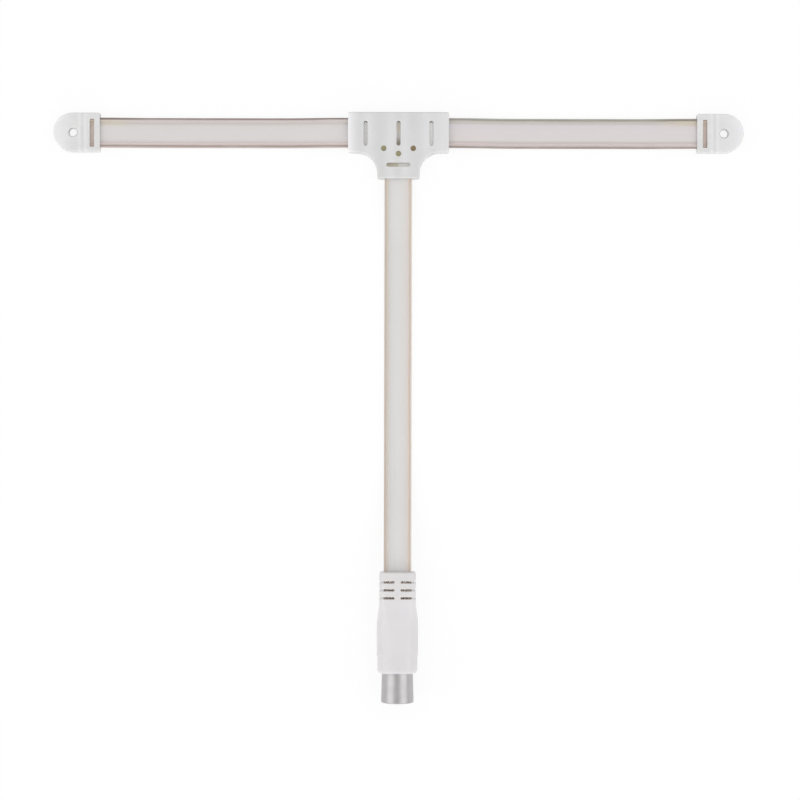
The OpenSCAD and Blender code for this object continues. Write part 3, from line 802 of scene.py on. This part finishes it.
fills = [flux_fill("flux_" + side, *place) for side, place in zip(("left", "right", "middle"), PIN_MARKS)]

# %% [markdown]
# Finishes are node materials. A node tree reads badly as a list of links, so one small class wraps a
# socket: sums and products written in Python become Math nodes, and one method adds any other node.

# %% Shader expressions
def paint(code):
    """A colour written as six hex digits, as Blender's linear colour."""
    parts = [int(code[i:i + 2], 16) / 255 for i in (0, 2, 4)]
    return (*(p / 12.92 if p <= 0.04045 else ((p + 0.055) / 1.055) ** 2.4 for p in parts), 1.0)


class Value:
    """A socket of a finish. Arithmetic on it adds Math nodes."""

    def __init__(self, finish, socket):
        self.finish = finish
        self.socket = socket

    def math(self, operation, *others):
        inputs = dict(enumerate((self,) + others))
        return self.finish.node("ShaderNodeMath", {"operation": operation}, inputs)

    def __add__(self, other):
        return self.math("ADD", other)

    __radd__ = __add__

    def __sub__(self, other):
        return self.math("SUBTRACT", other)

    def __rsub__(self, other):
        return self.finish.node("ShaderNodeMath", {"operation": "SUBTRACT"}, {0: other, 1: self})

    def __mul__(self, other):
        return self.math("MULTIPLY", other)

    def __truediv__(self, other):
        return self.math("DIVIDE", other)

    def __neg__(self):
        return self.math("MULTIPLY", -1.0)

    def size(self):
        return self.math("ABSOLUTE")

    def ramp(self, low, high):
        """0 below low, 1 above high, and smooth between."""
        return self.finish.node("ShaderNodeMapRange", {"interpolation_type": "SMOOTHSTEP"},
                                {"Value": self, "From Min": low, "From Max": high})

    def hump(self, centre, width):
        """1 at the centre, and near 0 a width away."""
        away = (self - centre) / width
        return (-(away * away)).math("EXPONENT")

    def between(self, low, high, soft):
        """1 between two values, with soft ends."""
        return self.ramp(low - soft, low + soft) * (1 - self.ramp(high - soft, high + soft))


print("paper white is", [round(part, 2) for part in paint("f0f0f0")[:3]])

# %% [markdown]
# A finish is a Principled material with the nodes that feed it. It works in millimetres on the object, so
# that its clouds and bands keep their size.

# %% Finishes
class Finish:
    """A node material on the Principled shader."""

    def __init__(self, name, **constants):
        self.material = bpy.data.materials.new(name)
        self.material.use_nodes = True
        self.tree = self.material.node_tree
        self.shader = next(n for n in self.tree.nodes if n.type == "BSDF_PRINCIPLED")
        for socket, value in constants.items():
            self.shader.inputs[socket.replace("_", " ").title().replace("Ior", "IOR")].default_value = value

    def node(self, kind, settings, inputs, output=0):
        """Add a node, set it, feed it, and give one of its outputs."""
        made = self.tree.nodes.new(kind)
        for key, value in settings.items():
            setattr(made, key, value)
        for key, value in inputs.items():
            self.feed(made.inputs[key], value)
        return Value(self, made.outputs[output])

    def feed(self, socket, value):
        if isinstance(value, Value):
            self.tree.links.new(value.socket, socket)
        else:
            socket.default_value = paint(value) if isinstance(value, str) else value

    def place(self):
        """X, Y and Z of the point on the object, in millimetres."""
        point = self.node("ShaderNodeTexCoord", {}, {}, "Object")
        split = self.node("ShaderNodeVectorMath", {"operation": "SCALE"}, {0: point, "Scale": 1 / MM})
        parts = self.node("ShaderNodeSeparateXYZ", {}, {0: split})
        return [Value(self, parts.socket.node.outputs[i]) for i in range(3)] + [split]

    def noise(self, point, scale, detail=3.0, rough=0.5, stretch=(1, 1, 1), seed=0.0):
        """Cloudy noise from 0 to 1, with a number of clouds per millimetre."""
        moved = self.node("ShaderNodeMapping", {}, {"Vector": point, "Scale": stretch,
                                                    "Location": (seed, seed * 2, seed * 3)})
        return self.node("ShaderNodeTexNoise", {}, {"Vector": moved, "Scale": scale, "Detail": detail,
                                                    "Roughness": rough})

    def blend(self, share, first, second):
        """Two colours mixed by a share."""
        made = self.tree.nodes.new("ShaderNodeMix")
        made.data_type = "RGBA"
        colours = [s for s in made.inputs if s.type == "RGBA"]
        self.feed(made.inputs[0], share)
        self.feed(colours[0], first)
        self.feed(colours[1], second)
        return Value(self, next(o for o in made.outputs if o.type == "RGBA"))

    def colours(self, value, stops):
        """A ramp of colours, from pairs of a place between 0 and 1 and hex digits."""
        made = self.node("ShaderNodeValToRGB", {}, {0: value})
        elements = made.socket.node.color_ramp.elements
        while len(elements) < len(stops):
            elements.new(0.5)
        for element, (place, code) in zip(elements, stops):
            element.position = place
            element.color = paint(code)
        return made

    def finish(self, colour, rough=None, height=None, alpha=None):
        """Feed the shader. Height is in millimetres."""
        self.feed(self.shader.inputs["Base Color"], colour)
        if rough is not None:
            self.feed(self.shader.inputs["Roughness"], rough)
        if alpha is not None:
            self.feed(self.shader.inputs["Alpha"], alpha)
        if height is not None:
            bump = self.node("ShaderNodeBump", {}, {"Height": height * MM, "Distance": 1.0, "Strength": 1.0})
            self.feed(self.shader.inputs["Normal"], bump)
        return self.material


def dress(material, *pieces):
    for piece in pieces:
        piece.data.materials.clear()
        piece.data.materials.append(material)


print("materials so far", len(bpy.data.materials))

# %% [markdown]
# The mouldings are white polyethylene with a fine spark-eroded grain. White plastic is never one white:
# it is cloudy where it flowed, a little greyer where it is thick, and its grain scatters the light. Light
# and shade are also painted on. Lighter bands beside the slots of the T junction are painted light, for
# the light its skin catches where it has sunk as it cooled. A few lighter ends are painted highlights,
# and a few darker rims are painted shade.

# %% White moulding
def white_moulding(name, pale, deep, painted_light=(), painted_shade=()):
    """White plastic, with stripes of painted light and painted shade: axis, centre, width and strength."""
    white = Finish(name, ior=1.5, specular_ior_level=0.42, subsurface_weight=0.45, subsurface_scale=0.0016,
                   subsurface_radius=(1.0, 0.95, 0.85))
    *axes, z, point = white.place()
    cloud = white.noise(point, 0.16, detail=3.0, seed=1.7)
    colour = white.blend(cloud.ramp(0.3, 0.7), pale, deep)
    height = white.noise(point, 7.0, detail=2.0) * 0.004 + white.noise(point, 0.35, detail=2.0, seed=4) * 0.05
    # Painted light and painted shade: paler and greyer stripes where the surface would catch more or less
    # light.
    for stripes, shade in ((painted_light, "efeef0"), (painted_shade, "b4b4b4")):
        for axis, centre, width, strength in stripes:
            colour = white.blend(axes[axis].hump(centre, width) * strength, colour, shade)
    rough = white.noise(point, 1.4, seed=3.1) * 0.1 + 0.4
    return white.finish(colour, rough, height)


# Painted light on the T junction: a painted highlight on its left end, lighter bands beside the slots where
# the sunk skin catches light, and a lighter right end. Painted shade: a darker line along its top rim.
tee_painted_light = ((0, -17.2, 2.8, 0.85), (0, -9.9, 2.0, 0.24), (0, -2.6, 1.6, 0.22), (0, 2.1, 1.5, 0.22),
             (0, 9.3, 1.7, 0.25), (0, 15.2, 3.2, 0.28))
tee_painted_shade = ((1, 6.6, 0.5, 0.25),)
dress(white_moulding("white_junction", "d4d4d4", "d1d1d1", painted_light=tee_painted_light, painted_shade=tee_painted_shade), tee)
link_line = CAP_MOUTH + LINK_X
# Painted light on each cap: lighter bands beside the sunk hollow over the wire link, and a painted highlight
# on the round end. Painted shade: a darker line along the sunk hollow itself.
cap_painted_light = tuple((0, side * (link_line + d), width, strength) for side in (-1, 1)
                  for d, width, strength in ((-0.9, 0.5, 0.3), (1.1, 0.5, 0.3), (9.2, 4.2, 0.5)))
cap_painted_shade = tuple((0, side * link_line, 0.35, 0.12) for side in (-1, 1))
white_cap = white_moulding("white_cap", "dcdcdc", "d7d7d7", painted_light=cap_painted_light, painted_shade=cap_painted_shade)
dress(white_cap, cap_left, cap_right)
# Painted light on the coupling: a lighter band over the flare between strain relief and grip, whose slope
# faces away from the front light.
body_painted_light = ((1, PLUG_ENTRY - 12.5, 4.5, 0.25),)
dress(white_moulding("white_coupling", "dbd9da", "d9d7d7", painted_light=body_painted_light), body)
print("bands on the junction", len(tee_painted_light), "and on the caps", len(cap_painted_light))

# %% [markdown]
# The cable's insulation is clear vinyl that has gone a little milky. Its web is thin and pale, and the beads
# take the wires' brown. Each edge looks like a thin dark line, because the bead bends the light there. A
# ramp across the cable paints these bands, and a cloud stretched along the run breaks them up. A share of
# the surface is see-through, so that the copper strands inside show as in the real cable.

# %% Clear insulation
def cable_skin(name, axis, stops, half, stains_and_light=()):
    """Vinyl with coloured bands across it, placed from one edge in shares of the width. Inside the T
    junction it is painted near white, painted light against the shade of the slots, and it is clear
    under the two outer slots."""
    skin = Finish(name, ior=1.48, specular_ior_level=0.4)
    x, y, *_, point = skin.place()
    across = (x, y)[axis]
    along = (y, x)[axis]
    stretch = (0.16, 1.4, 1) if axis == 1 else (1.4, 0.16, 1)
    drift = skin.noise(point, 0.4, detail=2.0, stretch=stretch) - 0.5
    colour = skin.colours((across + drift * 0.3 + half) / (2 * half), stops)
    mottle = skin.noise(point, 0.8, detail=4.0, stretch=stretch, seed=2.2)
    colour = skin.blend(mottle.ramp(0.45, 0.8) * 0.25, colour, "dad6d2")
    inside_tee = 1 - along.size().ramp(TEE_HALF - 4, TEE_HALF - 1)
    # Painted light: inside the T junction the cable is painted near white, so that the shaded floors of the
    # slots look light.
    colour = skin.blend(inside_tee * 0.95, colour, "fffdf7")
    for mask, shade, share in stains_and_light:
        colour = skin.blend(mask(skin, x, y, point) * share, colour, shade)
    over_wire = across.size().ramp(half - 1.6, half - 1.3)
    clear = x.hump(-ARM_SLOT_X, 1.5) * 0.58 + x.hump(ARM_SLOT_X, 1.5) * 0.7
    alpha = (0.78 + over_wire * 0.12) * (1 - inside_tee) + (1 - clear) * inside_tee
    rough = 0.24 + mottle * 0.14
    height = skin.noise(point, 0.9, detail=3.0, stretch=stretch, seed=5.0) * 0.02
    return skin.finish(colour, rough, height, alpha)


left_stops = [
    (0.0, "c8bab3"), (0.026, "bfb1aa"), (0.05, "a4958f"), (0.074, "9f908b"), (0.1, "ddcfca"),
    (0.13, "eee0dc"), (0.162, "d7cac7"), (0.19, "d2c7c4"), (0.225, "d8d3d2"), (0.3, "dfdbda"),
    (0.5, "dfdbda"), (0.72, "dedad8"), (0.755, "d9d5d2"), (0.788, "d1cbc7"), (0.82, "cec8c4"),
    (0.854, "d4cdc9"), (0.888, "d2cac6"), (0.92, "c8bdb9"), (0.954, "938280"), (0.987, "9d8c88"),
]
right_stops = [
    (0.0, "a3968f"), (0.035, "958983"), (0.06, "b5a8a3"), (0.09, "dccfcb"), (0.12, "e7dbd9"),
    (0.15, "e0d3d2"), (0.178, "cfc3bf"), (0.205, "cdc5c2"), (0.238, "d6d0ce"), (0.28, "e0dbd8"),
    (0.5, "e0dadb"), (0.76, "dfd7da"), (0.82, "cfc8c4"), (0.867, "cbc7c1"), (0.9, "b8b1a6"),
    (0.934, "95938a"), (0.967, "b7b7b1"), (1.0, "c0beba"),
]
lead_stops = [
    (0.0, "c8bcae"), (0.045, "c4b5aa"), (0.08, "cec1b5"), (0.116, "d9cfc4"), (0.152, "ded7d0"),
    (0.188, "dbd8d5"), (0.224, "dcd9d7"), (0.26, "dedddb"), (0.5, "e3e1e0"), (0.72, "e0ddda"),
    (0.76, "e0dcd9"), (0.8, "e1dad7"), (0.834, "e2d9d3"), (0.87, "e4d9cf"), (0.905, "cec0b6"),
    (0.94, "cbbdb3"), (0.975, "e8ddd2"), (1.0, "f0e8e0"),
]
print("stops across the cables", len(left_stops), len(right_stops), len(lead_stops))

# %% [markdown]
# Age and soldering have stained the insulation in places, and a few marks on it are painted light and
# shade. Each is a mask over the cable, with a colour and a strength.

# %% Stains on the insulation
def tan_film(skin, x, y, point):
    """A thin film of old flux in the middle slot."""
    return x.hump(0, 1.5) * y.ramp(-1, 1)


def flux(skin, x, y, point):
    """Brown flux that has spread from the soldered joints."""
    away = (x * x * 0.35 + (y + 5.2) * (y + 5.2)).math("SQRT")
    return 1 - (away + skin.noise(point, 0.5, seed=8) * 3).ramp(2.5, 6.5)


def painted_light_in_coupling(skin, x, y, point):
    """Painted light: a pale patchy colour on the lead inside the coupling, against the shade of its deep
    slots.
    """
    patches = skin.noise(point, 1.6, seed=6).ramp(0.3, 0.5)
    return (1 - y.ramp(PLUG_ENTRY - 2.4, PLUG_ENTRY - 1.6)) * (patches * 0.35 + 0.65)


def in_cap(skin, x, y, point):
    """A tan stain where the cable ends in a cap."""
    return x.size().ramp(CAP_MOUTH + 0.6, CAP_MOUTH + 1.8)


def near_cap(skin, x, y, point):
    """The upper bead has yellowed towards the cap."""
    return x.size().ramp(CAP_MOUTH - 14, CAP_MOUTH - 3) * y.between(2.3, 4.0, 0.3)


def cap_edge_shade(skin, x, y, point):
    """Painted shade: the dark line of the upper edge, where the bead bends the light, is darker towards the
    cap.
    """
    return x.size().ramp(CAP_MOUTH - 20, CAP_MOUTH - 3) * y.ramp(4.0, 4.4)


def old_resin(skin, x, y, point):
    """A tan stain over the left wire of the lead, in the slot of the stem."""
    return (1 - x.ramp(-0.6, 0.6)) * y.hump(-TEE_STEM + 4.5, 2.0)


# On the arms, the darker upper edge by the caps is painted shade.
arm_stains_and_shade = ((flux, "b5a98c", 0.7), (tan_film, "fff1e0", 0.6), (in_cap, "e6d2c5", 0.82),
              (near_cap, "d9cdb4", 0.5), (cap_edge_shade, "83756a", 0.5))
arm_left_skin = cable_skin("cable_skin_arm_left", 1, left_stops, ARM_WIDTH / 2, stains_and_light=arm_stains_and_shade)
arm_right_skin = cable_skin("cable_skin_arm_right", 1, right_stops, ARM_WIDTH / 2, stains_and_light=arm_stains_and_shade)
# On the lead, the pale colour inside the coupling is painted light.
lead_skin = cable_skin("cable_skin_lead", 0, lead_stops, LEAD_WIDTH / 2,
                       stains_and_light=((flux, "b5ab88", 0.6), (painted_light_in_coupling, "e6dad0", 0.9), (old_resin, "d4c9ae", 0.75)))
dress(arm_left_skin, arm_left)
dress(arm_right_skin, arm_right, crossing)
dress(lead_skin, lead)
print("stains on an arm", len(arm_stains_and_shade))

# %% [markdown]
# Copper strands are bright where they rub and brown where they have dulled. Solder is grey with a brown
# film of flux. The drawn sleeve is satin nickel plate with faint marks of the die along it.

# %% Metals
def two_tones(name, first, second, rough, clouds, relief=0.004, metal=True):
    """Clouds of two tones with a fine relief, in metal or not."""
    made = Finish(name, metallic=1.0) if metal else Finish(name, ior=1.5)
    low, drift, finer, seed = (0.35, 0.2, 6, 2) if metal else (0.3, 0.15, 5, 3)
    point = made.place()[-1]
    cloud = made.noise(point, clouds, detail=4.0)
    colour = made.blend(cloud.ramp(low, 0.7), first, second)
    return made.finish(colour, cloud * drift + rough, made.noise(point, clouds * finer, seed=seed) * relief)


copper = two_tones("copper_strands", "c08a62", "8a5a40", 0.3, 1.2)
solder = two_tones("solder_film", "a89a78", "7d6a48", 0.35, 1.6)
tinned = two_tones("tinned_link", "b9b5ad", "918b82", 0.3, 1.5)
brass = two_tones("brass_contact", "cdb682", "a8905c", 0.26, 0.9)


def satin_nickel():
    nickel = Finish("satin_nickel", metallic=1.0)
    point = nickel.place()[-1]
    marks = nickel.noise(point, 2.2, detail=4.0, stretch=(6, 0.12, 6), seed=1)
    film = nickel.noise(point, 0.4, detail=3.0, seed=9)
    colour = nickel.blend(film.ramp(0.3, 0.75), "bebcbc", "b6b4b4")
    return nickel.finish(colour, marks * 0.1 + 0.36, marks * 0.003)


nickel = satin_nickel()
dress(nickel, sleeve)
dress(brass, contact)
dress(solder, joint_left, joint_right)
dress(copper, *wires.values())
print("copper on", len(wires), "wires")

# %% [markdown]
# Flux sets khaki, yellower over one joint. Glue is pale with brown specks, and the specks stand a little
# proud.

# %% Flux and glue
def khaki_flux():
    resin = Finish("flux_resin", ior=1.5, roughness=0.35)
    x, *_, point = resin.place()
    cloud = resin.noise(point, 1.1, detail=3.0, seed=3)
    colour = resin.blend(x.ramp(1, 4), "aba581", "9a8663")
    colour = resin.blend(cloud * 0.3, colour, "7c7450")
    return resin.finish(colour, height=cloud * 0.02)


def brown_glue():
    made = Finish("slot_glue", ior=1.5)
    point = made.place()[-1]
    specks = made.noise(point, 1.9, detail=3.0, seed=7)
    colour = made.blend(specks.ramp(0.42, 0.58), "f2e6da", "86705e")
    return made.finish(colour, 0.4 + specks * 0.2, specks * 0.03)


dress(khaki_flux(), *fills)
dress(brown_glue(), slot_glue)
print("flux in", len(fills), "pin marks")

# %% [markdown]
# Inside the coupling sit parts that no one sees until it is cut open: a ferrite core, two enamelled
# windings and the soldered ends. They keep their solids, which are right, and get a finish each.

# %% Inner parts
ivory = two_tones("insulator_white", "e6e1d4", "d6d0c0", 0.4, 0.8, metal=False)
ferrite = two_tones("ferrite", "3a3836", "2a2928", 0.55, 2.0, 0.01, metal=False)
enamel_red = two_tones("enamel_red", "8a3a26", "6e2a1c", 0.22, 1.5, 0.002, metal=False)
enamel_gold = two_tones("enamel_gold", "a9803a", "8c6628", 0.22, 1.5, 0.002, metal=False)
dress(ivory, holder)
kept = {
    ferrite: ["balun_core"], enamel_red: ["primary_winding"], enamel_gold: ["secondary_winding"],
    solder: ["plug_joint_left", "plug_joint_right", "feed_joint_left", "feed_joint_right"],
    tinned: ["end_link_left", "end_link_right"], ivory: ["insulator"], brass: ["centre_contact"],
    nickel: ["outer_sleeve"], arm_right_skin: ["dipole_ribbon"], lead_skin: ["lead_ribbon"],
    white_cap: ["t_housing", "end_cap_left", "end_cap_right", "plug_housing"], copper: list(wires),
}
for material, nodes in kept.items():
    dress(material, *(frame["nodes"][node] for node in nodes))
print("solids dressed", sum(len(nodes) for nodes in kept.values()))

# %% [markdown]
# The table is a plain white sheet. It shows its own white to the camera, and in the metal, while the
# antenna's soft shadow stays on it: a share of its light is its own, and the rest is what falls on it.

# %% White table
TABLE_GLOW = 0.88
table = bmesh.new()
bmesh.ops.create_grid(table, x_segments=1, y_segments=1, size=1.5)
shift(table, 0, -90, -0.05)
table = finish_mesh("table", table)


def table_white():
    made = Finish("table_white", roughness=0.9, specular_ior_level=0.1)
    point = made.place()[-1]
    cloud = made.noise(point, 0.02, detail=2.0)
    colour = made.blend(cloud, (0.95, 0.95, 0.95, 1), (0.93, 0.93, 0.93, 1))
    made.feed(made.shader.inputs["Base Color"], colour)
    rays = made.tree.nodes.new("ShaderNodeLightPath").outputs
    camera_ray = Value(made, rays["Is Camera Ray"])
    seen = camera_ray.math("MAXIMUM", Value(made, rays["Is Glossy Ray"]))
    seen = seen.math("MAXIMUM", Value(made, rays["Is Transmission Ray"]))
    glow = made.tree.nodes.new("ShaderNodeEmission")
    glow.inputs["Color"].default_value = (1, 1, 1, 1)
    glow.inputs["Strength"].default_value = 1.0
    both = made.tree.nodes.new("ShaderNodeMixShader")
    made.feed(both.inputs[0], seen * TABLE_GLOW)
    made.tree.links.new(made.shader.outputs[0], both.inputs[1])
    made.tree.links.new(glow.outputs[0], both.inputs[2])
    output = next(n for n in made.tree.nodes if n.type == "OUTPUT_MATERIAL")
    made.tree.links.new(both.outputs[0], output.inputs["Surface"])
    return made.material


dress(table_white(), table)
print("table glow", TABLE_GLOW)

# %% [markdown]
# Three soft lights hang over the table: one to each side, and a narrower one low in front, which lights the
# ends that face the lead. The room fills the rest. Seen in the round sleeve, the side lights are pale bands
# beside a darker middle. A light's brightness is its power over its area, so the power is worked out from
# the brightness that its reflection should have.

# %% Studio light
def soft_box(name, tilt, heading, width, length, brightness, distance=1.6):
    """A soft box at an angle from straight above, to one side of the antenna, which it looks at."""
    area = bpy.data.lights.new(name, "AREA")
    area.shape = "RECTANGLE"
    area.size, area.size_y = width, length
    area.energy = brightness * math.pi * width * length
    lamp = bpy.data.objects.new(name, area)
    turn, side = math.radians(tilt), math.radians(heading)
    away = Vector((math.sin(turn) * math.cos(side), math.sin(turn) * math.sin(side), math.cos(turn)))
    lamp.location = Vector((0, -0.09, 0)) + away * distance
    lamp.rotation_euler = (0, turn, side)
    bpy.context.scene.collection.objects.link(lamp)
    print(name, round(area.energy, 2), "W")


soft_box("left_box", 52, 180, 1.6, 1.85, 1.02)
soft_box("right_box", 46, 0, 1.5, 1.85, 1.0)
soft_box("front_box", 58, -90, 0.9, 1.6, 1.5)
room = bpy.data.worlds.new("room")
room.use_nodes = True
sky = room.node_tree.nodes["Background"].inputs
sky["Color"].default_value = (1, 1, 1, 1)
sky["Strength"].default_value = 0.61
bpy.context.scene.world = room
bpy.context.scene.view_settings.view_transform = "Standard"

# %% [markdown]
# Last, each piece rides on the one body, as nothing moves, and the solids that it stands in for are hidden.

# %% Put each piece on the body
body_name = next(iter(frame["bodies"]))
pieces = {
    tee: ("white_moulding", ["t_housing"]), cap_left: ("white_moulding", ["end_cap_left"]),
    cap_right: ("white_moulding", ["end_cap_right"]), body: ("white_moulding", ["plug_housing"]),
    arm_left: ("cable_skin", ["dipole_ribbon"]), arm_right: ("cable_skin", ["dipole_ribbon"]),
    crossing: ("cable_skin", ["dipole_ribbon"]), lead: ("cable_skin", ["lead_ribbon"]),
    sleeve: ("nickel_sleeve", ["outer_sleeve"]), contact: ("contact_brass", ["centre_contact"]),
    holder: ("insulator_white", ["insulator"]), joint_left: ("solder", ["feed_joint_left"]),
    joint_right: ("solder", ["feed_joint_right"]),
}
pieces.update({piece: ("copper_wire", [node]) for node, piece in wires.items()})
for piece, (slot, nodes) in pieces.items():
    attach(piece, body_name)
    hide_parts(*nodes)
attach(slot_glue, body_name)
for piece in fills:
    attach(piece, body_name)
[tuple(p) for p in arm_line]
[tuple(p) for p in lead_line]
print("pieces", len(pieces) + len(fills) + 1)
